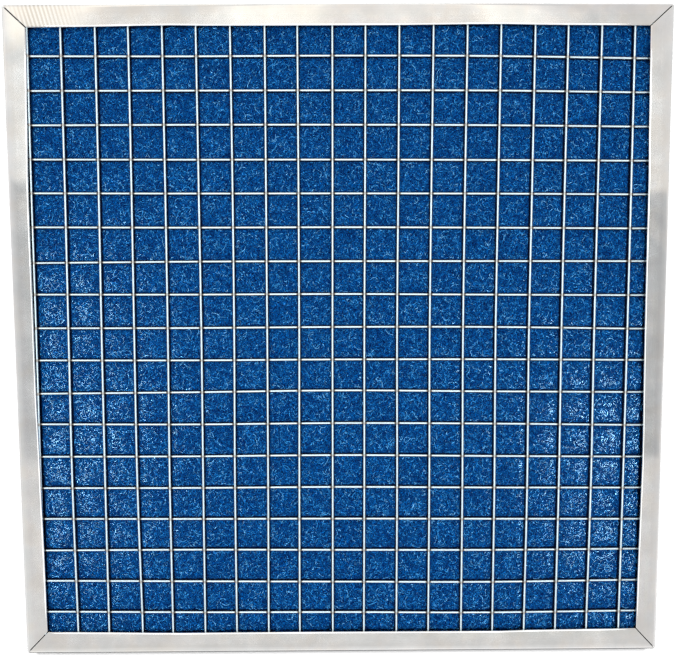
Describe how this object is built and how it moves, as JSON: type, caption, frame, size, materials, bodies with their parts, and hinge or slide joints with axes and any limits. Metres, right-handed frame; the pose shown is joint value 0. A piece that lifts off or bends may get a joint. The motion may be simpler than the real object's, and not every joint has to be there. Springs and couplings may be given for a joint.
{
  "type": "furnace air filter",
  "caption": "Square flat furnace air filter: a mitred aluminium channel frame holds a blue fibre pad between two welded wire grids.",
  "frame": {"origin": "the middle of the rear lip face, on which the filter lies", "axes": "+X to the right, +Y towards the top rail, +Z through the depth from the rear face to the front face"},
  "size_m": [0.5016, 0.5016, 0.0222],
  "materials": {
    "mill_aluminium": "bright mill finish with faint rolling streaks",
    "key_strip": "dull mill finish",
    "galvanised_wire": "bright galvanised",
    "blue_fibre": "glossy tangled fibre"
  },
  "bodies": {
    "root": {"bottom_rail": "mill_aluminium", "right_rail": "mill_aluminium", "top_rail": "mill_aluminium", "left_rail": "mill_aluminium", "bottom_left_corner_key": "key_strip", "bottom_right_corner_key": "key_strip", "top_right_corner_key": "key_strip", "top_left_corner_key": "key_strip", "front_line_wires": "galvanised_wire", "front_cross_wires": "galvanised_wire", "rear_line_wires": "galvanised_wire", "rear_cross_wires": "galvanised_wire", "media_pad": "blue_fibre"}
  },
  "joints": []
}
